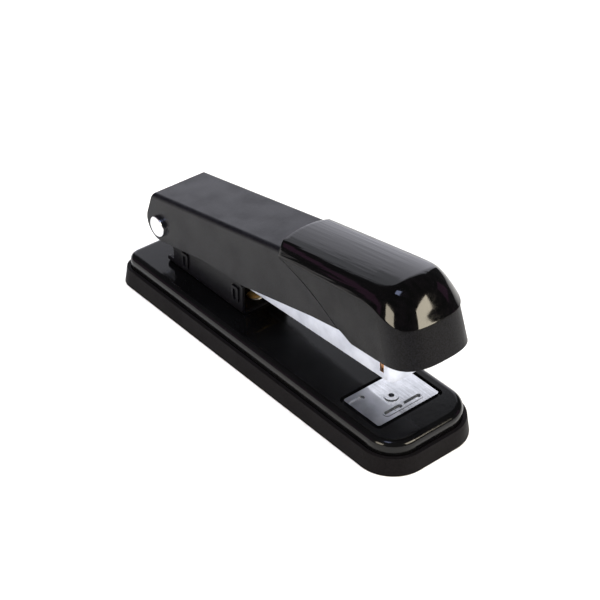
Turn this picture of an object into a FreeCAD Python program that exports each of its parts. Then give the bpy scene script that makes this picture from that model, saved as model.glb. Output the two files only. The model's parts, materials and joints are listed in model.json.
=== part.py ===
import FreeCAD, Part
import math
import os

# Half-strip desk stapler at rest: base flat on the table, magazine and arm raised by their springs.
# Millimetres. +X runs to the nose, +Z is up, z = 0 is the table.
# Base pieces are drawn about the base's centre. Magazine and arm pieces are drawn level about the
# hinge axis, then tilted into place.

vec = FreeCAD.Vector
origin = vec(0, 0, 0)

# cutting tools run this far past the solid they cut
past = 1.0
far = 40.0
edge_match = 1e-6

# Base: a moulded tray with a pressed steel shell standing in it
base_length = 134.7
base_width = 38.8
front_corner_radius = 12.0
rear_corner_radius = 6.7
tray_height = 5.8
tray_slant = 0.9
tray_floor = 2.0
tray_rim = 1.2
shell_gap = 0.15
shell_top = 10.46
shell_sheet = 1.0
shoulder_radius = 2.2
button_hole_radius = 6.6

# Hinge at the rear, shared by bracket, magazine and arm
pivot_from_rear = 14.46
pivot_height = 24.5
pin_radius = 2.0
pin_running_gap = 0.05
pin_head_radius = 3.6
pin_head_height = 1.2
pin_head_edge = 0.35
side_gap = 0.1

# Magazine: a plated steel channel, open on top
nose_setback = 13.34
staple_side_gap = 0.05
magazine_sheet = 0.8
magazine_height = 9.0
magazine_drop = 5.5
magazine_tail = 6.5
tail_round = 0.35
nose_sheet = 1.2
nose_corner_radius = 2.2
nose_inner_radius = 0.4
nose_over_anvil = 0.4
magazine_rest_tilt = 2.36
window_length = 1.7
window_to_nose = 3.5
window_floor = 2.0

# Staples, 26/6: 12.7 mm crown, 6 mm leg, half a millimetre of wire
staple_crown = 12.7
staple_leg = 6.0
staple_wire = 0.5
staple_strip_length = 36.5
staple_floor_gap = 0.2

# What carries the staples inside the magazine
rail_sheet = 0.7
rail_tail = 14.0
rail_side_gap = 0.15
rail_top_gap = 0.2
rod_radius = 1.0
rod_lift = 4.1
rail_rivet_insets = (10.0, 14.0)
rail_rivet_head_radius = 1.92
pusher_length = 12.0
pusher_sheet = 0.7
pusher_gap = 0.3
spring_radius = 2.0
spring_wire = 0.5
spring_end_gap = 0.3

# Driver blade, which pushes one staple out
driver_sheet = 0.6
driver_slot_gap = 0.2
driver_length = 21.0
driver_tip_gap = 0.3
driver_tab_drop = 12.0
driver_tab_inset = 1.0
driver_side_gap = 0.15

# Arm: folded steel channel
arm_sheet = 0.9
arm_top = 11.0
arm_bend_radius = 1.6
arm_rest_tilt = 10.9
arm_rear = -1.4
arm_lobe_radius = 6.1
arm_low = -5.75
arm_belly = -8.3
arm_lobe_lean = 0.62
arm_rear_radius = 0.4
tongue_drop = 2.0
tongue_width = 16.0
tongue_joggle = 2.5

# Head: moulded skirt below, glossy cap above
nose_ahead = 14.2
head_length = 57.1
head_low = -10.5
head_low_flare = 2.25
head_high_flare = 1.15
cap_overlap = 0.45
crown_height = 14.3
crown_fall = 1.5
crown_arch = 1.4
shoulder_inset = 2.2
shoulder_drop = 3.0
shoulder_turn = 0.3
nose_draft = 0.23
side_draft = 0.046
side_spare = 1.0
head_spare = 10.0
front_spare = 4.0
nose_plan_radius = 9.4
nose_top_radius = 9.5
skirt_wall = 1.6
cap_wall = 1.5
panel_gap = 0.15
rim_rear = 8.9
rim_front_bend = (-14.6, 7.6)
rim_nose = (-4.1, 0.8)
rim_bend_radius = 4.0
seam_high = 7.9
seam_bulge = (12.5, 1.9)
seam_bulge_radius = 70.0
seam_low_ahead = 23.6
belly_start = 24.0
belly_end = 42.0
belly_rise = 0.8
belly_radii = (25.0, 12.0, 30.0)
seam_foot = 0.5
arm_past_seam = 5.0
lap_length = 4.0
lap_sheet = 0.8
lap_rise = 1.5
lap_front = 2.0
skirt_step = 4.5
skirt_step_radius = 4.0
skirt_behind_cap = 2.0

# Anvil: a plate in a shallow recess, held by a sprung stud
pocket_offset = 5.05
anvil_length = 15.6
anvil_width = 24.0
anvil_sheet = 1.0
anvil_corner_radius = 0.8
recess_margin = 1.2
recess_corner_radius = 2.0
recess_floor_gap = 0.05
stud_radius = 1.6
stud_running_gap = 0.05
eyelet_radius = 2.25
eyelet_height = 0.35
eyelet_hole_radius = 0.9
eyelet_hole_depth = 3.0
pocket_past_crown = 0.75
pocket_width = 1.7
pocket_depth = 0.5
pocket_bridge = 1.0
pocket_rim = 0.45
pocket_rim_height = 0.15
pin_pocket_inside_crown = 0.15
pin_pocket_length = 5.4
button_radius = 5.6
button_sheet = 1.2
button_edge = 0.6
button_low = 1.6
anvil_spring_radius = 4.0

# Bracket: a steel channel riveted to the base, with the hinge pin through its lobes
bracket_side_gap = 0.8
bracket_sheet = 1.0
bracket_rear_ahead = 0.9
bracket_length = 39.5
bracket_lobe_radius = 5.4
bracket_front_fall = 2.9
bracket_waist = 3.4
bracket_foot_height = 2.4
bracket_front_radius = 1.5
bracket_foot_radius = 0.8
bracket_bend_radius = 1.4
rib_length = 6.0
rib_width = 3.4
rib_band = 1.0
rib_height = 0.6
rib_places = ((10.9, 5.9), (37.1, 4.3))
rivet_radius = 1.5
rivet_head_radius = 2.8
rivet_head_height = 0.8
rivet_head_edge = 0.48
rivet_end_margin = 5.0
washer_radius = 4.2
washer_sheet = 0.85

# Leaf springs
leaf_sheet = 0.5
lift_leaf_half_width = 5.0
lift_leaf_tail_ahead = 17.9
lift_leaf_length = 23.0
arm_leaf_half_width = 3.5
arm_leaf_tip = 43.0
leaf_seat_gap = 0.1
leaf_rivet_radius = 1.2
leaf_rivet_head_radius = 2.16
leaf_rivet_inset = 4.0
leaf_tip_length = 3.0
leaf_tip_fall = 0.6
leaf_tip_round = 0.2
leaf_tip_bend = 3.0
lift_leaf_flat = 10.0
lift_leaf_bend = 6.0
arm_leaf_flat = 8.0
arm_leaf_bend = 8.0
arm_leaf_neck = 10.0
arm_leaf_tip_fall = 0.8

# Worked out from the sizes above
half_length = base_length / 2
half_width = base_width / 2
pivot_x = pivot_from_rear - half_length
pivot = vec(pivot_x, 0, pivot_height)
magazine_reach = base_length - pivot_from_rear - nose_setback
magazine_width = staple_crown + 2 * (staple_side_gap + magazine_sheet)
bracket_width = magazine_width + 2 * (bracket_side_gap + bracket_sheet)
arm_width = bracket_width + 2 * (washer_sheet + 2 * side_gap + arm_sheet)
nose_x = magazine_reach + nose_ahead
arm_front = nose_x - head_length
seam_low = arm_front + seam_low_ahead
bracket_rear = pivot_x + bracket_rear_ahead
bracket_front = bracket_rear + bracket_length
bracket_front_top = pivot_height - bracket_front_fall
bracket_rivet_places = (bracket_rear + rivet_end_margin, bracket_front - rivet_end_margin)
lift_leaf_tail = pivot_x + lift_leaf_tail_ahead
lift_leaf_tip = lift_leaf_tail + lift_leaf_length
rail_end = magazine_reach - nose_sheet - driver_sheet - 2 * driver_slot_gap
driver_x = rail_end + driver_slot_gap + driver_sheet / 2
anvil_top = shell_top
magazine_low = -magazine_drop
magazine_floor = magazine_low + magazine_sheet
staple_low = magazine_floor + staple_floor_gap
staple_top = staple_low + staple_leg
rail_half_width = staple_crown / 2 - staple_wire - rail_side_gap
rail_top = staple_top - staple_wire - rail_top_gap
rail_rivet_places = (rail_tail + rail_rivet_insets[0], rail_end - rail_rivet_insets[1])
strip_rear = rail_end - staple_strip_length
pusher_front = strip_rear - pusher_gap
pusher_rear = pusher_front - pusher_length
rod_z = magazine_low + rod_lift
bracket_half = bracket_width / 2
arm_half = arm_width / 2
arm_side_end = seam_low + arm_past_seam
head_low_half_width = arm_half + head_low_flare
magazine_half = magazine_width / 2
nose_lift = anvil_top + pocket_rim_height + nose_over_anvil - pivot_height


def closed_tilt():
    """Tilt of the magazine, in degrees, when its nose is pressed onto the anvil."""
    reach = math.hypot(magazine_reach, magazine_drop)
    return math.degrees(math.asin(nose_lift / reach) + math.atan2(magazine_drop, magazine_reach))


magazine_closed_tilt = closed_tilt()
driver_tilt = magazine_closed_tilt + arm_rest_tilt


def about_hinge(x, z, tilt):
    """A hinge-frame point turned by tilt about the hinge axis, still measured from that axis."""
    turn = math.radians(tilt)
    return (x * math.cos(turn) - z * math.sin(turn), x * math.sin(turn) + z * math.cos(turn))


strike_x = pivot_x + about_hinge(driver_x, magazine_low, magazine_closed_tilt)[0]
anvil_x = strike_x - pocket_offset
nose_overhang = pivot_x + about_hinge(nose_x, head_low, arm_rest_tilt)[0] - half_length
frame_shift = vec(-max(nose_overhang, 0) / 2, 0, 0)


def rounded_wire(corners, place):
    """Closed wire through (a, b, radius) corners, with an arc at each corner that has a radius.
    place turns a flat (a, b) pair into a point."""
    count = len(corners)
    stops = []
    for index, (a, b, radius) in enumerate(corners):
        here = vec(a, b, 0)
        if radius <= 0:
            stops.append((here, None, here))
            continue
        back = vec(*corners[index - 1][:2], 0) - here
        ahead = vec(*corners[(index + 1) % count][:2], 0) - here
        back.normalize()
        ahead.normalize()
        half = back.getAngle(ahead) / 2
        reach = radius / math.tan(half)
        middle = back + ahead
        middle.normalize()
        centre = here + middle * (radius / math.sin(half))
        stops.append((here + back * reach, centre - middle * radius, here + ahead * reach))
    edges = []
    for index, (start, crest, end) in enumerate(stops):
        if crest is not None:
            arc = Part.Arc(place(start.x, start.y), place(crest.x, crest.y), place(end.x, end.y))
            edges.append(arc.toShape())
        following = stops[(index + 1) % count][0]
        if (following - end).Length > edge_match:
            edges.append(Part.makeLine(place(end.x, end.y), place(following.x, following.y)))
    return Part.Wire(edges)


def side_plate(corners, y_low, y_high):
    """Solid with a side-view outline, from y_low to y_high."""
    wire = rounded_wire(corners, lambda a, b: vec(a, y_low, b))
    return Part.Face(wire).extrude(vec(0, y_high - y_low, 0))


def plan_slab(corners, z_low, z_high):
    """Solid with a plan outline, from z_low to z_high."""
    wire = rounded_wire(corners, lambda a, b: vec(a, b, z_low))
    return Part.Face(wire).extrude(vec(0, 0, z_high - z_low))


def section_bar(corners, x_low, x_high):
    """Solid with an end-view outline, from x_low to x_high."""
    wire = rounded_wire(corners, lambda a, b: vec(x_low, a, b))
    return Part.Face(wire).extrude(vec(x_high - x_low, 0, 0))


def block(x_low, x_high, y_low, y_high, z_low, z_high):
    return Part.makeBox(x_high - x_low, y_high - y_low, z_high - z_low, vec(x_low, y_low, z_low))


def disc(radius, x, z_low, z_high, y=0.0):
    return Part.makeCylinder(radius, z_high - z_low, vec(x, y, z_low))


def cross_bar(radius, x, z, y_low, y_high):
    return Part.makeCylinder(radius, y_high - y_low, vec(x, y_low, z), vec(0, 1, 0))


def long_bar(radius, x_low, x_high):
    """Round bar along X on the guide rod's line."""
    return Part.makeCylinder(radius, x_high - x_low, vec(x_low, 0, rod_z), vec(1, 0, 0))


def both_sides(shape):
    """The shape and its mirror image across the middle plane."""
    return [shape, shape.mirror(origin, vec(0, 1, 0))]


def placed(shape, tilt):
    """A hinge-frame shape tilted nose-up by tilt and set on the hinge."""
    shape.rotate(origin, vec(0, -1, 0), tilt)
    shape.translate(pivot)
    return shape


def base_outline(inset):
    """Plan outline of the base, drawn in by inset."""
    front = max(front_corner_radius - inset, 0.5)
    rear = max(rear_corner_radius - inset, 0.5)
    x = half_length - inset
    y = half_width - inset
    return [(-x, -y, rear), (x, -y, front), (x, y, front), (-x, y, rear)]


def base_loft(inset_low, z_low, inset_high, z_high):
    """Solid between two base outlines at two heights."""
    wires = []
    for inset, z in ((inset_low, z_low), (inset_high, z_high)):
        wires.append(rounded_wire(base_outline(inset), lambda a, b, level=z: vec(a, b, level)))
    return Part.makeLoft(wires, True, True)


shell_inset = tray_slant + tray_rim + shell_gap


def base_tray():
    """Moulded tray: slanted skirt round the foot of the shell, floor with the anvil button's hole."""
    tray = base_loft(0, 0, tray_slant, tray_height)
    tray = tray.cut(plan_slab(base_outline(shell_inset - shell_gap), tray_floor, tray_height + past))
    return tray.cut(disc(button_hole_radius, anvil_x, -past, tray_floor + past))


def domed_slab(inset, z_low, z_high, radius):
    """Base-shaped slab with a rounded upper edge."""
    slab = plan_slab(base_outline(inset), z_low, z_high)
    rim = [edge for edge in slab.Edges if abs(edge.BoundBox.ZMin - z_high) < edge_match]
    return slab.makeFillet(radius, rim)


def recess_outline(margin):
    x = anvil_length / 2 + margin
    y = anvil_width / 2 + margin
    radius = max(recess_corner_radius + margin - recess_margin, 0.3)
    return [(anvil_x - x, -y, radius), (anvil_x + x, -y, radius),
            (anvil_x + x, y, radius), (anvil_x - x, y, radius)]


def base_shell():
    """Pressed steel shell: rounded shoulder, anvil recess, stud hole and rivet holes."""
    shell = domed_slab(shell_inset, tray_floor, shell_top, shoulder_radius)
    hollow_radius = max(shoulder_radius - shell_sheet, 0.3)
    hollow = domed_slab(shell_inset + shell_sheet, tray_floor - past, shell_top - shell_sheet, hollow_radius)
    recess_floor = anvil_top - anvil_sheet - recess_floor_gap
    dish_low = recess_floor - shell_sheet
    dish = plan_slab(recess_outline(recess_margin + shell_sheet), dish_low, shell_top - shell_sheet / 2)
    shell = shell.cut(hollow).fuse(dish)
    shell = shell.cut(plan_slab(recess_outline(recess_margin), recess_floor, shell_top + past))
    shell = shell.cut(disc(stud_radius + stud_running_gap, anvil_x, dish_low - past, shell_top + past))
    for x in bracket_rivet_places:
        shell = shell.cut(disc(rivet_radius, x, shell_top - 2 * shell_sheet, shell_top + past))
    return shell.removeSplitter()


def bracket_side_outline():
    """Side view of the bracket: lobe round the pin, waist at the back, straight front edge."""
    foot = shell_top
    lobe_low = pivot_height - bracket_lobe_radius
    lobe_top = pivot_height + bracket_lobe_radius
    lobe_rear = pivot_x - bracket_lobe_radius
    waist_x = bracket_rear + bracket_waist
    return [(bracket_rear, foot, 0), (bracket_front, foot, 0),
            (bracket_front, bracket_front_top, bracket_front_radius),
            (pivot_x + bracket_lobe_radius, lobe_top, bracket_lobe_radius),
            (lobe_rear, lobe_top, bracket_lobe_radius * 0.95),
            (lobe_rear, lobe_low, bracket_lobe_radius * 0.6),
            (waist_x, lobe_low - past, bracket_waist * 0.6),
            (waist_x, foot + bracket_foot_height, bracket_foot_radius),
            (bracket_rear, foot + bracket_foot_height, bracket_foot_radius)]


def pressed_rib(x, z_top):
    """Loop-shaped rib pressed outwards from the near wall of the bracket."""
    y_out = -bracket_half - rib_height
    half = rib_width / 2
    z_low = z_top - rib_length
    outer = side_plate([(x - half, z_top, 0.4), (x - half, z_low, half * 0.95),
                        (x + half, z_low, half * 0.95), (x + half, z_top, 0.4)], y_out, -bracket_half)
    inner_half = half - rib_band
    inner = side_plate([(x - inner_half, z_top - rib_band, 0.2),
                        (x - inner_half, z_low + rib_band, inner_half * 0.9),
                        (x + inner_half, z_low + rib_band, inner_half * 0.9),
                        (x + inner_half, z_top - rib_band, 0.2)], y_out - past, -bracket_half)
    return outer.cut(inner)


def pivot_bracket():
    """Upright channel on the base that carries the hinge pin."""
    foot = shell_top
    half = bracket_half
    inside = half - bracket_sheet
    top = pivot_height + bracket_lobe_radius + past
    x_low = bracket_rear - bracket_lobe_radius * 2
    x_high = bracket_front + past
    outer = section_bar([(-half, foot, bracket_bend_radius), (half, foot, bracket_bend_radius),
                         (half, top, 0), (-half, top, 0)], x_low, x_high)
    inner_radius = bracket_bend_radius - bracket_sheet
    hollow = section_bar([(-inside, foot + bracket_sheet, inner_radius),
                          (inside, foot + bracket_sheet, inner_radius),
                          (inside, top + past, 0), (-inside, top + past, 0)], x_low - past, x_high + past)
    bracket = outer.cut(hollow).common(side_plate(bracket_side_outline(), -half, half))
    bracket = bracket.cut(cross_bar(pin_radius, pivot_x, pivot_height, -half - past, half + past))
    for x in bracket_rivet_places:
        bracket = bracket.cut(disc(rivet_radius, x, foot - past, foot + bracket_sheet + past))
    for ahead, fall in rib_places:
        for rib in both_sides(pressed_rib(pivot_x + ahead, pivot_height - fall)):
            bracket = bracket.fuse(rib)
    return bracket.removeSplitter()


def rivet(x, radius, head_radius, z_low, z_high):
    """Upright rivet that grips from z_low to z_high, with a low domed head each end."""
    body = disc(radius, x, z_low, z_high)
    for z, end in ((z_high, z_high + rivet_head_height), (z_low - rivet_head_height, z_low)):
        head = disc(head_radius, x, z, end)
        outer_z = end if z >= z_high else z
        crown = [edge for edge in head.Edges if abs(edge.BoundBox.ZMax - outer_z) < edge_match
                 and abs(edge.BoundBox.ZMin - outer_z) < edge_match]
        body = body.fuse(head.makeFillet(rivet_head_edge, crown))
    return body.removeSplitter()


def bracket_rivets():
    """Two rivets through the bracket's floor and the shell."""
    low = shell_top - shell_sheet
    high = shell_top + bracket_sheet
    return [rivet(x, rivet_radius, rivet_head_radius, low, high) for x in bracket_rivet_places]


def hinge_pin():
    """Headed pin through arm, bracket and magazine, turned over at the far end."""
    grip = arm_half + side_gap
    pin = cross_bar(pin_radius, pivot_x, pivot_height, -grip, grip)
    for sign in (-1, 1):
        face = sign * grip
        crown = face + sign * pin_head_height
        head = cross_bar(pin_head_radius, pivot_x, pivot_height, min(face, crown), max(face, crown))
        rim = [edge for edge in head.Edges if abs(edge.BoundBox.YMin - crown) < edge_match
               and abs(edge.BoundBox.YMax - crown) < edge_match]
        pin = pin.fuse(head.makeFillet(pin_head_edge, rim))
    return pin.removeSplitter()


def hinge_washers():
    """Two washers that keep the arm centred on the bracket."""
    inner = bracket_half + side_gap
    outer = inner + washer_sheet
    ring = cross_bar(washer_radius, pivot_x, pivot_height, -outer, -inner)
    ring = ring.cut(cross_bar(pin_radius + pin_running_gap, pivot_x, pivot_height, -outer - past, 0))
    return both_sides(ring)


def leaf_outline(tail, seat, flat, bend, tip, tip_z, fall, tip_fall):
    """Side view of a leaf: flat at the tail, a ramp, and a tip that turns down a little."""
    under = tip_z - leaf_sheet
    return [(tail, seat, 0), (tail + flat, seat, bend),
            (tip - leaf_tip_length, under - fall, leaf_tip_bend), (tip, under - tip_fall, leaf_tip_round),
            (tip, tip_z - tip_fall, leaf_tip_round), (tip - leaf_tip_length, tip_z - fall, leaf_tip_bend),
            (tail + flat, seat + leaf_sheet, bend), (tail, seat + leaf_sheet, 0)]


def lift_spring():
    """Leaf spring from the bracket's floor up to the magazine's underside."""
    seat = shell_top + bracket_sheet
    tip_x = lift_leaf_tip - pivot_x
    tip_z = pivot_height + about_hinge(tip_x, magazine_low, magazine_rest_tilt)[1] - leaf_seat_gap
    outline = leaf_outline(lift_leaf_tail, seat, lift_leaf_flat, lift_leaf_bend, lift_leaf_tip, tip_z,
                           leaf_tip_fall, 2 * leaf_tip_fall)
    leaf = side_plate(outline, -lift_leaf_half_width, lift_leaf_half_width)
    x = lift_leaf_tail + leaf_rivet_inset
    return leaf.cut(disc(leaf_rivet_radius, x, seat - past, seat + leaf_sheet + past))


def lift_spring_rivet():
    """Small rivet that holds the lift spring to the bracket's floor."""
    seat = shell_top + bracket_sheet
    x = lift_leaf_tail + leaf_rivet_inset
    shank = disc(leaf_rivet_radius, x, seat, seat + leaf_sheet)
    head = disc(leaf_rivet_head_radius, x, seat + leaf_sheet, seat + leaf_sheet + rivet_head_height)
    return shank.fuse(head).removeSplitter()


def slot_outline(x, y_low, y_high, width):
    """Plan outline of a round-ended slot that runs along Y."""
    half = width / 2
    radius = half * 0.98
    return [(x - half, y_low, radius), (x + half, y_low, radius),
            (x + half, y_high, radius), (x - half, y_high, radius)]


def anvil_plate():
    """Plate with two crimping grooves in front and two pinning grooves behind."""
    low = anvil_top - anvil_sheet
    x = anvil_length / 2
    y = anvil_width / 2
    radius = anvil_corner_radius
    plate = plan_slab([(anvil_x - x, -y, radius), (anvil_x + x, -y, radius),
                       (anvil_x + x, y, radius), (anvil_x - x, y, radius)], low, anvil_top)
    groove_low = anvil_top - pocket_depth
    groove_high = anvil_top + pocket_rim_height + past
    inner = pocket_bridge / 2
    outer = staple_crown / 2 + pocket_past_crown
    front_x = anvil_x + pocket_offset
    rim = plan_slab(slot_outline(front_x, -outer - pocket_rim, outer + pocket_rim,
                                 pocket_width + 2 * pocket_rim), anvil_top, anvil_top + pocket_rim_height)
    plate = plate.fuse(rim)
    for groove in both_sides(plan_slab(slot_outline(front_x, -outer, -inner, pocket_width),
                                       groove_low, groove_high)):
        plate = plate.cut(groove)
    rear_x = anvil_x - pocket_offset
    pin_inner = staple_crown / 2 - pin_pocket_inside_crown
    pin_outer = pin_inner + pin_pocket_length
    for groove in both_sides(plan_slab(slot_outline(rear_x, -pin_outer, -pin_inner, pocket_width),
                                       groove_low, groove_high)):
        plate = plate.cut(groove)
    return plate.cut(disc(stud_radius, anvil_x, low - past, anvil_top + past)).removeSplitter()


def anvil_stud():
    """Hollow-headed stud that holds the plate and slides through the shell."""
    shank_low = button_low + button_sheet
    stud = disc(stud_radius, anvil_x, shank_low, anvil_top)
    stud = stud.fuse(disc(eyelet_radius, anvil_x, anvil_top, anvil_top + eyelet_height))
    bore_low = anvil_top + eyelet_height - eyelet_hole_depth
    stud = stud.cut(disc(eyelet_hole_radius, anvil_x, bore_low, anvil_top + eyelet_height + past))
    return stud.removeSplitter()


def anvil_button():
    """Push button under the base that lifts the anvil."""
    button = disc(button_radius, anvil_x, button_low, button_low + button_sheet)
    rim = [edge for edge in button.Edges if abs(edge.BoundBox.ZMax - button_low) < edge_match]
    return button.makeFillet(button_edge, rim)


def anvil_spring():
    """Coil round the stud, between the shell and the button, drawn as its outer sleeve."""
    low = button_low + button_sheet + spring_end_gap
    high = anvil_top - anvil_sheet - recess_floor_gap - shell_sheet - spring_end_gap
    sleeve = disc(anvil_spring_radius, anvil_x, low, high)
    return sleeve.cut(disc(anvil_spring_radius - spring_wire, anvil_x, low - past, high + past))


def magazine_channel():
    """Plated channel with an open top, a wrapped nose, a driver slot and two small side windows."""
    half = magazine_half
    inside = half - magazine_sheet
    top = magazine_low + magazine_height
    tail = -magazine_tail
    corner = nose_corner_radius
    body = plan_slab([(tail, -half, 0), (magazine_reach, -half, corner), (magazine_reach, half, corner),
                      (tail, half, 0)], magazine_low, top)
    end = magazine_reach - nose_sheet
    hollow = plan_slab([(tail - past, -inside, 0), (end, -inside, nose_inner_radius),
                        (end, inside, nose_inner_radius), (tail - past, inside, 0)],
                       magazine_floor, top + past)
    mouth_half = staple_crown / 2 + driver_slot_gap / 2
    mouth = block(rail_end, end, -mouth_half, mouth_half, magazine_low - past, magazine_floor + past)
    body = body.cut(hollow).cut(mouth)
    window_front = magazine_reach - window_to_nose
    window = block(window_front - window_length, window_front, -half - past, half + past,
                   magazine_low + window_floor, top + past)
    body = body.cut(window)
    keep = side_plate([(tail, magazine_low, magazine_height * tail_round),
                       (magazine_reach + past, magazine_low, 0), (magazine_reach + past, top, 0),
                       (tail, top, magazine_height * tail_round)], -half, half)
    body = body.common(keep)
    bore = cross_bar(pin_radius + pin_running_gap, 0, 0, -half - past, half + past)
    return placed(body.cut(bore).removeSplitter(), magazine_rest_tilt)


def staple_rail():
    """Inner channel that the staples straddle, closed at the front and at the back."""
    low = magazine_floor
    half = rail_half_width
    rail = block(rail_tail, rail_end, -half, half, low, rail_top)
    hollow = block(rail_tail + rail_sheet, rail_end - rail_sheet, -half + rail_sheet, half - rail_sheet,
                   low + rail_sheet, rail_top + past)
    rail = rail.cut(hollow)
    bore = long_bar(rod_radius, rail_tail - past, rail_end + past)
    rail = rail.cut(bore)
    for x in rail_rivet_places:
        rail = rail.cut(disc(leaf_rivet_radius, x, low - past, low + rail_sheet + past))
    return placed(rail, magazine_rest_tilt)


def rail_rivets():
    """Two flat rivets that hold the rail to the magazine's floor."""
    made = []
    for x in rail_rivet_places:
        shank = disc(leaf_rivet_radius, x, magazine_floor, magazine_floor + rail_sheet)
        head_low = magazine_floor + rail_sheet
        head = disc(rail_rivet_head_radius, x, head_low, head_low + leaf_sheet)
        made.append(placed(shank.fuse(head).removeSplitter(), magazine_rest_tilt))
    return made


def guide_rod():
    """Rod that the pusher and its spring run on."""
    return placed(long_bar(rod_radius, rail_tail, rail_end), magazine_rest_tilt)


def pusher():
    """Saddle over the rail, with a tab down to the guide rod."""
    half = staple_crown / 2
    inside = rail_half_width + rail_side_gap
    low = staple_low
    saddle_low = rail_top + rail_top_gap
    saddle = block(pusher_rear, pusher_front, -half, half, low, saddle_low + pusher_sheet)
    hollow = block(pusher_rear - past, pusher_front + past, -inside, inside, low - past, saddle_low)
    saddle = saddle.cut(hollow)
    tab_half = rail_half_width - rail_sheet - rail_side_gap
    tab = block(pusher_rear, pusher_rear + pusher_sheet * 2, -tab_half, tab_half,
                magazine_floor + rail_sheet + leaf_sheet + rail_top_gap, saddle_low)
    bore = long_bar(rod_radius + pin_running_gap, pusher_rear - past, pusher_front)
    return placed(saddle.fuse(tab).cut(bore).removeSplitter(), magazine_rest_tilt)


def pusher_spring():
    """Coil on the guide rod behind the pusher, drawn as its outer sleeve."""
    start = rail_tail + rail_sheet + spring_end_gap
    end = pusher_rear - spring_end_gap
    sleeve = long_bar(spring_radius, start, end)
    core = long_bar(spring_radius - spring_wire, start - past, end + past)
    return placed(sleeve.cut(core), magazine_rest_tilt)


def staple_strip():
    """Strip of glued staples straddling the rail, up to the driver slot."""
    half = staple_crown / 2
    inside = half - staple_wire
    strip = block(strip_rear, rail_end, -half, half, staple_low, staple_top)
    strip = strip.cut(block(strip_rear - past, rail_end + past, -inside, inside, staple_low - past,
                            staple_top - staple_wire))
    return placed(strip, magazine_rest_tilt)


def arm_spring():
    """Leaf spring from the magazine's tail up to the underside of the arm."""
    seat = rail_top + leaf_seat_gap
    underside = arm_top - arm_sheet
    lift = arm_rest_tilt - magazine_rest_tilt
    tip_z = about_hinge(arm_leaf_tip, underside, lift)[1] - leaf_seat_gap * 3
    outline = leaf_outline(rail_tail, seat, arm_leaf_flat, arm_leaf_bend, arm_leaf_tip, tip_z,
                           arm_leaf_tip_fall, arm_leaf_tip_fall + leaf_tip_fall)
    leaf = side_plate(outline, -rail_half_width, rail_half_width)
    waist = block(rail_tail + arm_leaf_neck, arm_leaf_tip + past, arm_leaf_half_width,
                  rail_half_width + past, 0, tip_z + past)
    for side in both_sides(waist):
        leaf = leaf.cut(side)
    return placed(leaf, magazine_rest_tilt)


def seam_corners():
    """Side-view points of the seam between steel arm and moulded skirt, from the top down."""
    ahead, height = seam_bulge
    return [(arm_front, seam_high, 0), (arm_front + ahead, height, seam_bulge_radius),
            (seam_low, arm_belly + seam_foot, 0)]


def arm_side_outline():
    """Side view of the steel arm, from the rear lobe to the seam."""
    lobe_corner_x = arm_rear - (arm_top - arm_low) * arm_lobe_lean
    lower = [(lobe_corner_x, arm_low, arm_lobe_radius), (belly_start, arm_low, belly_radii[0]),
             (belly_end, arm_belly, belly_radii[1]),
             ((arm_front + seam_low) / 2, arm_belly + belly_rise, belly_radii[2])]
    return [(arm_rear, arm_top, arm_rear_radius)] + lower + seam_corners()[::-1] + [(arm_front, arm_top, 0)]


def arm_tongue():
    """Stepped-down strip of the arm's top that runs under the cap to the driver."""
    half = tongue_width / 2
    high = arm_top - tongue_drop
    step_end = arm_front + tongue_joggle
    reach = driver_x * math.cos(math.radians(magazine_closed_tilt))
    root = arm_front - arm_sheet
    outline = [(root, arm_top - arm_sheet, 0), (root, arm_top, 0), (arm_front, arm_top, 0),
               (step_end, high, 0), (reach, high, 0), (reach, high - arm_sheet, 0),
               (step_end, high - arm_sheet, 0), (arm_front, arm_top - arm_sheet, 0)]
    return side_plate(outline, -half, half)


def driver_tab():
    """Tab folded down from the tongue's end, square to the driver."""
    half = staple_crown / 2 - driver_tab_inset
    back = driver_x - driver_sheet / 2
    high = arm_top - tongue_drop
    top = high + back * math.sin(math.radians(-magazine_closed_tilt))
    tab = block(back - arm_sheet, back, -half, half, top - driver_tab_drop, top)
    tab.rotate(origin, vec(0, -1, 0), magazine_closed_tilt)
    return tab


def arm_channel():
    """Folded steel arm with rounded bends, hinge holes and the tongue that carries the driver."""
    half = arm_half
    inside = half - arm_sheet
    deep = arm_belly - past
    lobe = arm_rear - arm_top - arm_lobe_radius
    outer = section_bar([(-half, deep, 0), (half, deep, 0), (half, arm_top, arm_bend_radius),
                         (-half, arm_top, arm_bend_radius)], lobe, arm_side_end)
    inner_radius = arm_bend_radius - arm_sheet
    hollow = section_bar([(-inside, deep - past, 0), (inside, deep - past, 0),
                          (inside, arm_top - arm_sheet, inner_radius),
                          (-inside, arm_top - arm_sheet, inner_radius)], lobe - past, arm_side_end + past)
    arm = outer.cut(hollow).common(side_plate(arm_side_outline(), -half, half))
    arm = arm.fuse(arm_tongue()).fuse(driver_tab())
    arm = arm.cut(cross_bar(pin_radius + pin_running_gap, 0, 0, -half - past, half + past))
    return placed(arm.removeSplitter(), arm_rest_tilt)


def driver_blade():
    """Blade that shears one staple off the strip, riveted to the arm's tab."""
    half = staple_crown / 2 - driver_side_gap
    low = magazine_low + driver_tip_gap
    blade = block(driver_x - driver_sheet / 2, driver_x + driver_sheet / 2, -half, half, low,
                  low + driver_length)
    return placed(blade, driver_tilt)


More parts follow.
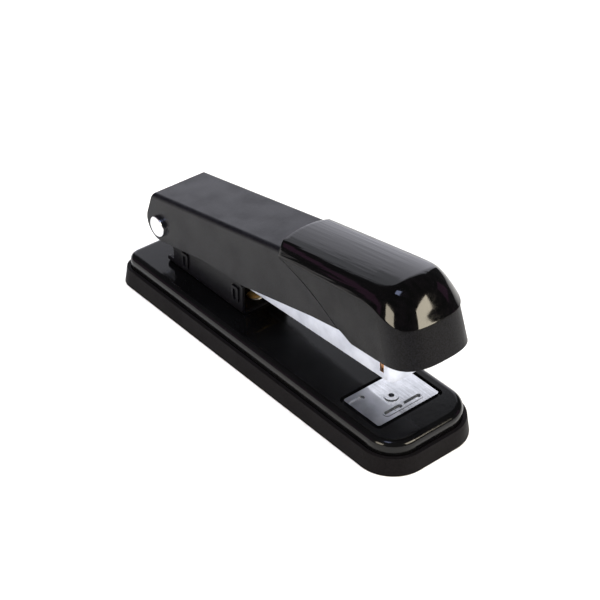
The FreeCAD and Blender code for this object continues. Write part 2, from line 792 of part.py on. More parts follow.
def head_section(x, grow, crown, low_half, high_half):
    """End-view wire of the head at x: slanted sides, rounded shoulders and an arched crown."""
    top = crown + grow
    high = high_half + grow
    low = low_half + grow
    bottom = head_low - head_spare
    spread = (low - high) / (rim_rear - head_low)
    foot = high + spread * (rim_rear - bottom)
    edge_y = high - shoulder_inset
    edge_z = top - crown_arch
    side_z = edge_z - shoulder_drop
    turn_y = high - shoulder_inset * shoulder_turn
    turn_z = edge_z - shoulder_drop * shoulder_turn
    points = [vec(x, -foot, bottom), vec(x, -high, side_z), vec(x, -edge_y, edge_z), vec(x, 0, top),
              vec(x, edge_y, edge_z), vec(x, high, side_z), vec(x, foot, bottom)]
    edges = [Part.makeLine(points[0], points[1]),
             Part.Arc(points[1], vec(x, -turn_y, turn_z), points[2]).toShape(),
             Part.Arc(points[2], points[3], points[4]).toShape(),
             Part.Arc(points[4], vec(x, turn_y, turn_z), points[5]).toShape(),
             Part.makeLine(points[5], points[6]), Part.makeLine(points[6], points[0])]
    return Part.Wire(edges)


def head_block(grow):
    """Solid shape of the head, grown or shrunk by grow, open-ended towards the arm."""
    rear_x = arm_front + panel_gap
    front_x = nose_x + front_spare
    slope = (head_low_half_width - arm_half) / (nose_x - rear_x)
    front_spread = slope * (front_x - rear_x)
    high_front = arm_half + front_spread * head_high_flare / head_low_flare
    body = Part.makeLoft([head_section(rear_x, grow, crown_height, arm_half, arm_half),
                          head_section(front_x, grow, crown_height - crown_fall,
                                       arm_half + front_spread, high_front)], True, True)
    top = crown_height + 2 * past
    bottom = head_low - head_spare + past
    wires = []
    for z in (bottom, top):
        x = nose_x + grow - nose_draft * (z - head_low)
        y = head_low_half_width + side_spare + grow - side_draft * (z - head_low)
        corners = [(rear_x - past, -y, 0), (x, -y, nose_plan_radius), (x, y, nose_plan_radius),
                   (rear_x - past, y, 0)]
        wires.append(rounded_wire(corners, lambda a, b, level=z: vec(a, b, level)))
    plan = Part.makeLoft(wires, True, True)
    crown = crown_height + grow
    fall = crown_fall / (nose_x - rear_x)
    peak_x = nose_x + grow - nose_draft * (crown - crown_fall - head_low)
    peak_z = crown - fall * (peak_x - rear_x)
    radius = nose_top_radius + min(grow, 0)
    foot_x = nose_x + grow - nose_draft * (bottom - head_low)
    profile = side_plate([(rear_x - past, bottom, 0), (foot_x, bottom, 0),
                          (peak_x, peak_z, radius), (rear_x - past, crown + fall, 0)], -far, far)
    return body.common(plan).common(profile)


def rim_outline(offset):
    """Side-view region above the cap's rim, moved up by offset."""
    bend_x, bend_z = nose_x + rim_front_bend[0], rim_front_bend[1]
    nose, nose_z = nose_x + rim_nose[0], rim_nose[1]
    return [(arm_front - past, rim_rear + offset, 0), (bend_x, bend_z + offset, rim_bend_radius),
            (nose, nose_z + offset, rim_bend_radius), (nose_x + far, nose_z + offset, 0),
            (nose_x + far, far, 0), (arm_front - past, far, 0)]


def head_cap():
    """Glossy cap over the head, standing a little proud of the skirt."""
    cap = head_block(cap_overlap).cut(head_block(cap_overlap - cap_wall))
    cap = cap.common(side_plate(rim_outline(0), -far, far))
    return placed(cap.removeSplitter(), arm_rest_tilt)


def skirt_outline(gap):
    """Side-view region of the skirt: from the seam to the nose, with the stepped lower edge."""
    seam = seam_corners()
    (x0, z0, _), (x1, z1, bulge), (x2, z2, _) = seam
    return [(x0 + gap, z0 + skirt_behind_cap, 0), (x0 + gap, z0, 0),
            (x1 + gap, z1 + gap / 2, bulge), (x2 + gap, z2, 0),
            (seam_low + skirt_step, head_low, skirt_step_radius), (nose_x + far, head_low, 0),
            (nose_x + far, far, 0), (x0 + gap, far, 0)]


def head_skirt():
    """Moulded skirt round the nose, with a lap behind each steel side plate."""
    shape = head_block(0)
    skirt = shape.cut(head_block(-skirt_wall))
    skirt = skirt.common(side_plate(skirt_outline(panel_gap), -far, far))
    skirt = skirt.cut(side_plate(rim_outline(-panel_gap), -far, far))
    lap_out = arm_half - arm_sheet - panel_gap / 2
    top_x, top_z = seam_corners()[1][:2]
    high = top_z + lap_rise
    low = arm_belly + lap_rise
    lap = side_plate([(top_x - lap_length, high, 0), (top_x + lap_length, high, 0),
                      (seam_low + lap_front, low, 0), (seam_low + lap_front - 2 * lap_length, low, 0)],
                     -lap_out, -lap_out + lap_sheet)
    for side in both_sides(lap):
        skirt = skirt.fuse(side)
    return placed(skirt.removeSplitter(), arm_rest_tilt)


def export(name, shape):
    """Write one sub-part, a solid or a group of solids, to its STEP file."""
    solids = []
    for piece in (shape if isinstance(shape, list) else [shape]):
        solids += piece.Solids
    for solid in solids:
        solid.translate(frame_shift)
    result = solids[0] if len(solids) == 1 else Part.makeCompound(solids)
    print(f"{name}: {len(solids)} solid(s), {result.Volume:.1f} mm3, valid {result.isValid()}")
    result.exportStep(f"parts/{name}.step")


makers = (base_tray, base_shell, pivot_bracket, bracket_rivets, hinge_pin, hinge_washers, lift_spring,
          lift_spring_rivet, anvil_plate, anvil_stud, anvil_button, anvil_spring, magazine_channel,
          staple_rail, rail_rivets, guide_rod, pusher, pusher_spring, staple_strip, arm_spring,
          arm_channel, driver_blade, head_cap, head_skirt)

os.makedirs("parts", exist_ok=True)
for maker in makers:
    export(maker.__name__, maker())
print(f"hinge axis x {pivot_x + frame_shift.x:.3f}, z {pivot_height:.3f}")
travel = magazine_rest_tilt - magazine_closed_tilt
print(f"magazine travel {travel:.3f} deg, closed tilt {magazine_closed_tilt:.3f}")
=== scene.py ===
import json
import math

import bmesh
import bpy
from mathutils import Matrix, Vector


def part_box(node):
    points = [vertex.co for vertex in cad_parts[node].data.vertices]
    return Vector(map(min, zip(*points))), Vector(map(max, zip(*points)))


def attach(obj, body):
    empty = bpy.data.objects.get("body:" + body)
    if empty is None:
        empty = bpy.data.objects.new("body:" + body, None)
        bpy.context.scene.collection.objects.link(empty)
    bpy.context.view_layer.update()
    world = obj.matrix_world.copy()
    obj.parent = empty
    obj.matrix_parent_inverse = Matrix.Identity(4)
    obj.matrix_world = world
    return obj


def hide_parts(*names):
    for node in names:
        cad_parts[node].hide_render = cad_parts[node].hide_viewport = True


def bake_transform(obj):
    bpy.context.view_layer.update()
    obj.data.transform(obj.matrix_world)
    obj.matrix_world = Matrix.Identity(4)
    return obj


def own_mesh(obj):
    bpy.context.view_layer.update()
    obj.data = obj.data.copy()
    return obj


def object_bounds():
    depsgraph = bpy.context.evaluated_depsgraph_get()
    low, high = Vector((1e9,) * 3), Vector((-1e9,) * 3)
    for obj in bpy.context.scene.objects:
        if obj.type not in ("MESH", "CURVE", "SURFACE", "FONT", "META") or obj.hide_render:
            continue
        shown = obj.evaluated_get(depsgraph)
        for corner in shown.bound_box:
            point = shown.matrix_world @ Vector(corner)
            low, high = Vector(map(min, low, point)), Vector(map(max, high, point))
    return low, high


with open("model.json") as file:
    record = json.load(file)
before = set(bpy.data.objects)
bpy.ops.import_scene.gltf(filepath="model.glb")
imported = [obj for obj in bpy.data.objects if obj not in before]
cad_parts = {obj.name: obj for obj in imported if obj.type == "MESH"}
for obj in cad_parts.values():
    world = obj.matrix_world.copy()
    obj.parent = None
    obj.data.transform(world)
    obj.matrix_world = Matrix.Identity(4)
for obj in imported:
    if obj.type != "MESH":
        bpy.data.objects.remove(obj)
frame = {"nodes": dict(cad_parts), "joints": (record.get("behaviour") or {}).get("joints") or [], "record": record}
cadLow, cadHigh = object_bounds()
mm = 0.001
# degrees that the arm and the magazine stand up at rest
armTilt = 10.9
magazineTilt = 2.36
print("frame loaded with", len(frame["nodes"]), "nodes")


def jointNamed(name):
    return next(joint for joint in frame["joints"] if joint["name"] == name)


def linear(hexColour):
    # sRGB hex to the linear colour that the shaders take
    parts = [int(hexColour[i:i + 2], 16) / 255 for i in (1, 3, 5)]
    return [c / 12.92 if c <= 0.04045 else ((c + 0.055) / 1.055) ** 2.4 for c in parts] + [1.0]


def addNode(tree, kind, settings=None, values=None, links=None):
    # settings are the node's properties, values its sockets, links its sockets' sources
    node = tree.nodes.new(kind)
    for name, value in (settings or {}).items():
        setattr(node, name, value)
    for socket, value in (values or {}).items():
        node.inputs[socket].default_value = value
    for socket, source in (links or {}).items():
        tree.links.new(source, node.inputs[socket])
    return node


def perMm(size):
    # noise scale that gives features of this many millimetres on Object coordinates in metres
    return 1 / (size * mm)


def newFinish(name):
    material = bpy.data.materials.new(name)
    material.use_nodes = True
    tree = material.node_tree
    tree.nodes.clear()
    shader = addNode(tree, "ShaderNodeBsdfPrincipled")
    addNode(tree, "ShaderNodeOutputMaterial", links={"Surface": shader.outputs["BSDF"]})
    place = addNode(tree, "ShaderNodeTexCoord")
    return material, tree, shader, place.outputs["Object"]


def ramp(tree, source, low, high, lowAt=0.35, highAt=0.65):
    # a noise value turned into a run between two numbers
    node = addNode(tree, "ShaderNodeMapRange", values={"From Min": lowAt, "From Max": highAt,
                                                       "To Min": low, "To Max": high},
                   links={"Value": source})
    return node.outputs["Result"]


def shades(tree, source, dark, light, darkAt=0.35, lightAt=0.65):
    # a noise value turned into a run between two colours
    node = addNode(tree, "ShaderNodeValToRGB", links={"Fac": source})
    node.color_ramp.elements[0].position = darkAt
    node.color_ramp.elements[0].color = linear(dark)
    node.color_ramp.elements[1].position = lightAt
    node.color_ramp.elements[1].color = linear(light)
    return node.outputs["Color"]


def stretched(tree, source, scale, tilt=0.0):
    # coordinates turned about Y and stretched, for brushing that runs along a tilted part
    turned = addNode(tree, "ShaderNodeMapping", {"vector_type": "POINT"},
                     {"Rotation": (0, math.radians(tilt), 0)}, {"Vector": source})
    return addNode(tree, "ShaderNodeMapping", {"vector_type": "POINT"}, {"Scale": scale},
                   {"Vector": turned.outputs["Vector"]}).outputs["Vector"]


def bumpOf(tree, height, distance, strength=1.0, under=None):
    links = {"Height": height}
    if under is not None:
        links["Normal"] = under
    node = addNode(tree, "ShaderNodeBump", values={"Strength": strength, "Distance": distance * mm},
                   links=links)
    return node.outputs["Normal"]


def noiseOf(tree, source, size, detail=2.0, rough=0.5):
    node = addNode(tree, "ShaderNodeTexNoise", values={"Scale": perMm(size), "Detail": detail,
                                                       "Roughness": rough},
                   links={"Vector": source})
    return node.outputs["Fac"]


# size in mm of the slow drift in roughness on the grained finishes
grainPatch = 9.0
grained = {
    # one row a finish: colours, roughness run, grain and its height in mm, specular level
    "sparkErodedAbs": {"dark": "#0b0a0b", "light": "#141214", "rough": (0.50, 0.62), "grain": 0.45,
                       "height": 0.06, "specular": 0.05},
    "satinPowderCoat": {"dark": "#030305", "light": "#15151a", "rough": (0.30, 0.40), "grain": 0.38,
                        "height": 0.06, "specular": 0.13},
    "satinMouldedAbs": {"dark": "#030304", "light": "#141418", "rough": (0.34, 0.44), "grain": 0.42,
                        "height": 0.06, "specular": 0.10},
}


def grainedFinish(name, look):
    # a black coat or moulding with a fine even grain, which breaks up every highlight
    material, tree, shader, place = newFinish(name)
    grain = noiseOf(tree, place, look["grain"], 3.0, 0.6)
    patches = noiseOf(tree, place, grainPatch, 2.0)
    tree.links.new(shades(tree, grain, look["dark"], look["light"]), shader.inputs["Base Color"])
    tree.links.new(ramp(tree, patches, *look["rough"]), shader.inputs["Roughness"])
    tree.links.new(bumpOf(tree, grain, look["height"], 0.6), shader.inputs["Normal"])
    shader.inputs["Specular IOR Level"].default_value = look["specular"]
    return material


enamelLook = {"dark": "#050506", "light": "#09090a", "rough": (0.10, 0.16), "patch": 14.0, "peel": 1.6,
              "peelHeight": 0.006, "dust": 0.5, "speckRough": 0.06, "speckFrom": (0.55, 0.75),
              "specular": 0.22}


def stovedEnamel():
    # baked gloss enamel on pressed steel: near mirror, with a slight orange peel that softens edges
    material, tree, shader, place = newFinish("stovedEnamel")
    peel = noiseOf(tree, place, enamelLook["peel"], 2.0)
    patches = noiseOf(tree, place, enamelLook["patch"], 3.0)
    dust = noiseOf(tree, place, enamelLook["dust"], 4.0, 0.7)
    colour = shades(tree, patches, enamelLook["dark"], enamelLook["light"])
    tree.links.new(colour, shader.inputs["Base Color"])
    gloss = ramp(tree, patches, *enamelLook["rough"])
    specks = ramp(tree, dust, 0.0, enamelLook["speckRough"], *enamelLook["speckFrom"])
    both = addNode(tree, "ShaderNodeMath", {"operation": "ADD"}, links={0: gloss, 1: specks})
    tree.links.new(both.outputs["Value"], shader.inputs["Roughness"])
    tree.links.new(bumpOf(tree, peel, enamelLook["peelHeight"]), shader.inputs["Normal"])
    shader.inputs["Specular IOR Level"].default_value = enamelLook["specular"]
    return material


# streak is the flow lines' length and width in mm, fade where along the stapler they die out
capLook = {"dark": "#020202", "light": "#050405", "rough": (0.06, 0.11), "streak": (30.0, 1.6),
           "streakHeight": 0.20, "fade": (44.0, 52.0), "swell": 18.0, "swellHeight": 0.003, "specular": 0.27,
           "tilt": armTilt}


def polishedAbs():
    # polished black moulding: deep gloss with faint flow lines along its length
    material, tree, shader, place = newFinish("polishedAbs")
    along, across = capLook["streak"]
    flowPlace = stretched(tree, place, (1 / along, 1 / across, 1 / across), capLook["tilt"])
    flow = addNode(tree, "ShaderNodeTexNoise", values={"Scale": 1 / mm, "Detail": 2.0, "Roughness": 0.55},
                   links={"Vector": flowPlace}).outputs["Fac"]
    swell = noiseOf(tree, place, capLook["swell"], 1.0)
    spot = addNode(tree, "ShaderNodeSeparateXYZ", links={"Vector": place})
    fade = addNode(tree, "ShaderNodeMapRange", values={"From Min": capLook["fade"][0] * mm,
                                                       "From Max": capLook["fade"][1] * mm,
                                                       "To Min": 1.0, "To Max": 0.0},
                   links={"Value": spot.outputs["X"]})
    lines = addNode(tree, "ShaderNodeMath", {"operation": "MULTIPLY"},
                    links={0: flow, 1: fade.outputs["Result"]}).outputs["Value"]
    tree.links.new(shades(tree, flow, capLook["dark"], capLook["light"]), shader.inputs["Base Color"])
    tree.links.new(ramp(tree, flow, *capLook["rough"]), shader.inputs["Roughness"])
    waves = bumpOf(tree, swell, capLook["swellHeight"], 0.5)
    tree.links.new(bumpOf(tree, lines, capLook["streakHeight"], 0.6, waves), shader.inputs["Normal"])
    shader.inputs["Specular IOR Level"].default_value = capLook["specular"]
    return material


metals = {
    # colours, roughness run, brushing (length and width in mm), its height, tilt of the part in degrees
    "brightChrome": {"dark": "#d4d5d8", "light": "#ececef", "rough": (0.05, 0.12), "brush": (9.0, 0.5),
                     "height": 0.002, "tilt": 0.0},
    "satinNickel": {"dark": "#bcc0cc", "light": "#d0d4df", "rough": (0.36, 0.50), "brush": (14.0, 0.22),
                    "height": 0.006, "tilt": magazineTilt},
    "zincPlate": {"dark": "#96938e", "light": "#b4b0a9", "rough": (0.30, 0.46), "brush": (1.2, 0.5),
                  "height": 0.008, "tilt": 0.0},
    "oiledSpringSteel": {"dark": "#7c7d80", "light": "#a9aaad", "rough": (0.22, 0.36), "brush": (4.0, 0.2),
                         "height": 0.004, "tilt": magazineTilt},
    "yellowPassivate": {"dark": "#b98a3c", "light": "#e0bd72", "rough": (0.20, 0.34), "brush": (2.5, 0.4),
                        "height": 0.004, "tilt": 0.0},
    "copperedWire": {"dark": "#b27a4a", "light": "#d9a573", "rough": (0.20, 0.32), "brush": (1.5, 0.15),
                     "height": 0.003, "tilt": magazineTilt},
}


def plainMetal(name, look):
    # plated or bare metal: drawn lines give its gloss a direction, and its tone drifts a little
    material, tree, shader, place = newFinish(name)
    along, across = look["brush"]
    brushed = stretched(tree, place, (1 / along, 1 / across, 1 / across), look["tilt"])
    lines = addNode(tree, "ShaderNodeTexNoise", values={"Scale": 1 / mm, "Detail": 3.0, "Roughness": 0.6},
                    links={"Vector": brushed}).outputs["Fac"]
    patches = noiseOf(tree, place, 5.0, 3.0)
    tree.links.new(shades(tree, patches, look["dark"], look["light"]), shader.inputs["Base Color"])
    tree.links.new(ramp(tree, lines, *look["rough"]), shader.inputs["Roughness"])
    tree.links.new(bumpOf(tree, lines, look["height"]), shader.inputs["Normal"])
    shader.inputs["Metallic"].default_value = 1.0
    return material


finishOf = {
    "tray_plastic": grainedFinish("sparkErodedAbs", grained["sparkErodedAbs"]),
    "black_powder_coat": grainedFinish("satinPowderCoat", grained["satinPowderCoat"]),
    "skirt_plastic": grainedFinish("satinMouldedAbs", grained["satinMouldedAbs"]),
    "black_enamel": stovedEnamel(),
    "cap_plastic": polishedAbs(),
    "chrome_plate": plainMetal("brightChrome", metals["brightChrome"]),
    "nickel_plate": plainMetal("satinNickel", metals["satinNickel"]),
    "zinc_plate": plainMetal("zincPlate", metals["zincPlate"]),
    "spring_steel": plainMetal("oiledSpringSteel", metals["oiledSpringSteel"]),
    "yellow_zinc": plainMetal("yellowPassivate", metals["yellowPassivate"]),
    "copper_wire": plainMetal("copperedWire", metals["copperedWire"]),
}

slotOf = {part["node"]: part["material_slot"] for part in frame["record"]["subparts"]}
for name, node in frame["nodes"].items():
    node.data.materials.clear()
    node.data.materials.append(finishOf[slotOf[name]])
print("finishes made:", len(finishOf))

hingePlace = Vector(jointNamed("arm_hinge")["pos_m"])

headLook = {
    # mm from the hinge, along the raised arm: x to the nose, z square to the arm's top
    "tilt": armTilt, "rear": 64.15, "nose": 121.1, "low": -10.5, "rimLevel": 8.9,
    "rearHalf": 10.95, "lowHalf": 13.3, "highHalf": 12.7, "draft": 0.14,
    "noseLength": 10.5, "nosePower": 2.75,
    "crown": 14.3, "crownFall": 1.5, "arch": 0.0168,
    "rearTurn": (0.16, 2.4, 1.6), "sideTurn": (0.25, 3.5, 2.0), "frontTurn": (0.76, 11.6, 2.4),
    "turnFrom": 0.94, "turnTo": 1.62, "wallLean": 0.47,
    "rim": ((64.0, 8.9), (106.5, 7.6), (117.0, 1.4)), "rimBend": 3.0, "rimEndBend": 0.4,
    "seam": ((64.15, 7.9), (76.5, 1.9), (87.6, -7.8)), "seamBend": 5.0, "seamGap": 0.36,
    "step": (88.2, 2.8), "overlap": 0.4, "rimGap": 0.06, "leastWall": 0.3,
    "capWall": 1.5, "skirtWall": 1.6, "capEdge": 0.22, "skirtEdge": 0.132,
}


def mix(a, b, t):
    return a + (b - a) * t


def smooth(t):
    t = min(max(t, 0.0), 1.0)
    return t * t * (3 - 2 * t)


def onArm(x, y, z):
    # arm millimetres to the frame's metres
    tilt = math.radians(headLook["tilt"])
    return hingePlace + Vector((x * math.cos(tilt) - z * math.sin(tilt), y,
                                x * math.sin(tilt) + z * math.cos(tilt))) * mm


def evenly(points, count):
    # the same curve with points an equal way apart
    gone = [0.0]
    for a, b in zip(points, points[1:]):
        gone.append(gone[-1] + math.dist(a, b))
    made = []
    k = 0
    for i in range(count + 1):
        want = gone[-1] * i / count
        while k < len(points) - 2 and gone[k + 1] < want:
            k += 1
        t = (want - gone[k]) / max(gone[k + 1] - gone[k], 1e-9)
        made.append(tuple(mix(a, b, t) for a, b in zip(points[k], points[k + 1])))
    return made


noseSteps = 40
sideSteps = 40
skirtSteps = 44
fineSteps = 400
power = 2 / headLook["nosePower"]
quarter = [(math.sin(a) ** power, math.cos(a) ** power)
           for a in (math.pi / 2 * k / fineSteps for k in range(fineSteps + 1))]
noseCurve = evenly([(headLook["noseLength"] * x, headLook["lowHalf"] * y) for x, y in quarter], noseSteps)
noseCurve = [(x / headLook["noseLength"], y / headLook["lowHalf"]) for x, y in noseCurve]


def noseReach(z):
    return headLook["nose"] - headLook["draft"] * (z - headLook["low"])


def seamAt(z):
    # where the steel arm ends in side view: two runs with a wide bend between them
    (x0, z0), (x1, z1), (x2, z2) = headLook["seam"]
    upper = mix(x0, x1, (z - z0) / (z1 - z0))
    lower = mix(x1, x2, (z - z1) / (z2 - z1))
    bent = 0.5 * (upper + lower - math.sqrt((upper - lower) ** 2 + headLook["seamBend"]))
    return bent + headLook["seamGap"]


def halfWidth(x, z):
    # the sides spread from the seam towards the nose, more at the bottom than at the rim
    share = (z - headLook["low"]) / (headLook["rimLevel"] - headLook["low"])
    atNose = mix(headLook["lowHalf"], headLook["highHalf"], share)
    end = noseReach(z) - headLook["noseLength"]
    start = max(seamAt(z), headLook["rear"])
    along = (x - start) / (end - start)
    return mix(headLook["rearHalf"], atNose, min(max(along, 0.0), 1.0))


def noseSpot(step, z):
    # a point of the rounded nose at height z, and its outward direction in plan
    start = noseReach(z) - headLook["noseLength"]
    half = halfWidth(start, z)
    x, y = noseCurve[step]
    before, after = noseCurve[max(step - 1, 0)], noseCurve[min(step + 1, noseSteps)]
    forward = (after[0] - before[0]) * headLook["noseLength"]
    run = Vector((forward, (after[1] - before[1]) * half)).normalized()
    out = Vector((-run.y, run.x))
    if step == noseSteps:
        out = Vector((1, 0))
    return start + x * headLook["noseLength"], y * half, out


def crownAt(x, y):
    fall = headLook["crownFall"] * (x - headLook["rear"]) / (headLook["nose"] - headLook["rear"])
    return headLook["crown"] - fall - headLook["arch"] * y * y


def rimAt(x):
    # the cap's lower edge in side view: two runs with a soft bend between them, then level
    (x0, z0), (x1, z1), (x2, z2) = headLook["rim"]
    first = mix(z0, z1, (x - x0) / (x1 - x0))
    second = mix(z1, z2, (x - x1) / (x2 - x1))
    low = 0.5 * (first + second - math.sqrt((first - second) ** 2 + headLook["rimBend"]))
    return 0.5 * (low + z2 + math.sqrt((low - z2) ** 2 + headLook["rimEndBend"]))


def headColumn(u, z):
    # u runs 0 to 1 along the side and 1 to 2 round the nose to its middle
    if u <= 1:
        x = mix(headLook["rear"], noseReach(z) - headLook["noseLength"], u)
        return x, halfWidth(x, z), Vector((0, 1))
    return noseSpot(round((u - 1) * noseSteps), z)


def rimOf(u, firstGuess=5.0, rounds=12):
    # the rim's height sets where the sloping nose is, and that sets the height, so it settles by turns
    z = firstGuess
    for _ in range(rounds):
        z = rimAt(headColumn(u, z)[0])
    return z


def capColumn(u, wallRows=4, turnRows=18, topRows=8):
    # one run of points from the cap's rim over its shoulder to the middle line
    rim = rimOf(u)
    lead = smooth((u - headLook["turnFrom"]) / (headLook["turnTo"] - headLook["turnFrom"]))
    sideTurn = [mix(a, b, min(u, 1)) for a, b in zip(headLook["rearTurn"], headLook["sideTurn"])]
    share, upTurn, turnPower = [mix(a, b, lead) for a, b in zip(sideTurn, headLook["frontTurn"])]
    x, y, out = headColumn(u, rim)
    x, y = x + out.x * headLook["overlap"], y + out.y * headLook["overlap"]
    # nose runs all meet the middle line where the sides end, side runs go straight across
    aim = x if u <= 1 else noseReach(rimOf(1)) - headLook["noseLength"]
    reach = math.hypot(x - aim, y)
    inX, inY = (aim - x) / reach, -y / reach
    across = share * reach
    top = crownAt(x + inX * across, y + inY * across)
    upTurn = min(upTurn, top - rim - headLook["leastWall"])
    wall = top - upTurn - rim
    lean = headLook["wallLean"]
    points = []
    for k in range(wallRows):
        up = wall * k / wallRows
        points.append((x + inX * lean * up, y + inY * lean * up, rim + up))
    gone = lean * wall
    for k in range(turnRows + 1):
        left = 1 - math.sin(math.pi / 2 * k / turnRows)
        run = gone + across * (1 - left)
        px, py = x + inX * run, y + inY * run
        points.append((px, py, mix(crownAt(px, py), top, left) - upTurn * left ** turnPower))
    for k in range(1, topRows + 1):
        run = mix(gone + across, reach, k / topRows)
        px, py = x + inX * run, y + inY * run
        points.append((px, py, crownAt(px, py)))
    return points


def meshFrom(bm, name):
    mesh = bpy.data.meshes.new(name)
    bm.to_mesh(mesh)
    bm.free()
    return mesh


def placed(name, data):
    # a new object of this mesh, light or camera, in the scene
    made = bpy.data.objects.new(name, data)
    bpy.context.scene.collection.objects.link(made)
    return made


def sheetMesh(name, columns, weld=0.004):
    # columns of points at +Y, mirrored to -Y and joined into one skin
    bm = bmesh.new()
    grids = []
    for side in (1, -1):
        grids.append([[bm.verts.new(onArm(x, y * side, z)) for x, y, z in column] for column in columns])
    for side, grid in enumerate(grids):
        for a, b in zip(grid, grid[1:]):
            for k in range(len(a) - 1):
                corners = [a[k], b[k], b[k + 1], a[k + 1]]
                bm.faces.new(corners[::-1] if side == 0 else corners)
    bmesh.ops.remove_doubles(bm, verts=bm.verts, dist=weld * mm)
    mesh = meshFrom(bm, name)
    mesh.shade_smooth()
    return placed(name, mesh)


def hardened(made, wall, edge):
    # a wall inwards and small rounded edges, turned into a plain mesh
    solid = made.modifiers.new("wall", "SOLIDIFY")
    solid.thickness = wall * mm
    solid.offset = -1
    bevel = made.modifiers.new("edge", "BEVEL")
    bevel.width = edge * mm
    bevel.segments = 3
    bevel.limit_method = "ANGLE"
    bevel.angle_limit = math.radians(50)
    return applied(made)


def applied(made):
    # the evaluated shape as a plain mesh, with the modifiers gone
    graph = bpy.context.evaluated_depsgraph_get()
    mesh = bpy.data.meshes.new_from_object(made.evaluated_get(graph), depsgraph=graph)
    made.modifiers.clear()
    made.data = mesh
    return made


capUs = [k / sideSteps for k in range(sideSteps)] + [1 + k / noseSteps for k in range(noseSteps + 1)]
cap = sheetMesh("polishedCap", [capColumn(u) for u in capUs])
cap = hardened(cap, headLook["capWall"], headLook["capEdge"])
cap.data.materials.clear()
cap.data.materials.append(finishOf["cap_plastic"])
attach(cap, "arm")
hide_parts("head_cap")
print("cap made:", len(cap.data.polygons), "faces")


def skirtColumn(i, rows=16):
    # side columns start at the slanted seam and spread out to the nose
    seamLow = headLook["seam"][2]
    t0 = i / skirtSteps
    lowX = mix(seamAt(seamLow[1]), noseReach(headLook["low"]) - headLook["noseLength"], t0)
    lowZ = mix(seamLow[1], headLook["low"], smooth((lowX - headLook["step"][0]) / headLook["step"][1]))
    highX = mix(headLook["rear"], noseReach(0) - headLook["noseLength"], t0)
    highZ = rimAt(highX) - headLook["rimGap"]
    points = []
    for k in range(rows + 1):
        z = mix(lowZ, highZ, k / rows)
        x = mix(seamAt(z), noseReach(z) - headLook["noseLength"], t0)
        points.append((x, halfWidth(x, z), z))
    return points


def skirtNose(step, rows=16):
    points = []
    rim = rimOf(1 + step / noseSteps) - headLook["rimGap"]
    for k in range(rows + 1):
        z = mix(headLook["low"], rim, k / rows)
        x, y, out = noseSpot(step, z)
        points.append((x, y, z))
    return points


skirtColumns = [skirtColumn(i) for i in range(skirtSteps)] + [skirtNose(k) for k in range(noseSteps + 1)]
skirt = sheetMesh("mouldedSkirt", skirtColumns)
skirt = hardened(skirt, headLook["skirtWall"], headLook["skirtEdge"])
skirt.data.materials.clear()
skirt.data.materials.append(finishOf["skirt_plastic"])
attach(skirt, "arm")
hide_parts("head_skirt")
print("skirt made:", len(skirt.data.polygons), "faces")


def newTree(name, inputs):
    # an empty Geometry Nodes tree with one named input for each size
    tree = bpy.data.node_groups.new(name, "GeometryNodeTree")
    tree.interface.new_socket("Geometry", in_out="INPUT", socket_type="NodeSocketGeometry")
    for label, kind in inputs.items():
        tree.interface.new_socket(label, in_out="INPUT", socket_type=kind)
    tree.interface.new_socket("Geometry", in_out="OUTPUT", socket_type="NodeSocketGeometry")
    return tree, addNode(tree, "NodeGroupInput").outputs


def endTree(tree, geometry, finish):
    real = addNode(tree, "GeometryNodeRealizeInstances", links={"Geometry": geometry})
    painted = addNode(tree, "GeometryNodeSetMaterial", values={"Material": finish},
                      links={"Geometry": real.outputs["Geometry"]})
    addNode(tree, "NodeGroupOutput", links={"Geometry": painted.outputs["Geometry"]})


def grown(name, mesh, tree, sizes):
    # runs a tree on a mesh with these sizes and keeps the result as a plain mesh
    made = placed(name, mesh)
    modifier = made.modifiers.new("nodes", "NODES")
    modifier.node_group = tree
    for item in tree.interface.items_tree:
        if item.in_out == "INPUT" and item.name in sizes:
            modifier[item.identifier] = sizes[item.name]
    made = applied(made)
    made.data.shade_smooth()
    return made


def coilTree(finish):
    # a wire swept round a spiral along Z, then turned and moved to its seat
    tree, given = newTree("coil", {"Turns": "NodeSocketFloat", "Coil Radius": "NodeSocketFloat",
                                   "Length": "NodeSocketFloat", "Wire Radius": "NodeSocketFloat",
                                   "Turn": "NodeSocketVector", "Place": "NodeSocketVector"})
    spiral = addNode(tree, "GeometryNodeCurveSpiral", values={"Resolution": 28},
                     links={"Rotations": given["Turns"], "Start Radius": given["Coil Radius"],
                            "End Radius": given["Coil Radius"], "Height": given["Length"]})
    wire = addNode(tree, "GeometryNodeCurvePrimitiveCircle", values={"Resolution": 10},
                   links={"Radius": given["Wire Radius"]})
    tube = addNode(tree, "GeometryNodeCurveToMesh", values={"Fill Caps": True},
                   links={"Curve": spiral.outputs["Curve"], "Profile Curve": wire.outputs["Curve"]})
    turned = addNode(tree, "GeometryNodeTransform", links={"Geometry": tube.outputs["Mesh"],
                                                           "Translation": given["Place"],
                                                           "Rotation": given["Turn"]})
    endTree(tree, turned.outputs["Geometry"], finish)
    return tree


def rowTree(finish):
    # copies of the mesh it is given, in a straight row
    tree, given = newTree("row", {"Count": "NodeSocketInt", "First": "NodeSocketVector",
                                  "Step": "NodeSocketVector", "Turn": "NodeSocketVector"})
    line = addNode(tree, "GeometryNodeMeshLine", {"mode": "OFFSET"},
                   links={"Count": given["Count"], "Start Location": given["First"], "Offset": given["Step"]})
    turn = addNode(tree, "FunctionNodeEulerToRotation", links={"Euler": given["Turn"]})
    copies = addNode(tree, "GeometryNodeInstanceOnPoints",
                     links={"Points": line.outputs["Mesh"], "Instance": given["Geometry"],
                            "Rotation": turn.outputs["Rotation"]})
    endTree(tree, copies.outputs["Instances"], finish)
    return tree


springLook = {"wire": 0.25, "pusherTurns": 16.0, "anvilTurns": 4.5}
coils = coilTree(finishOf["spring_steel"])

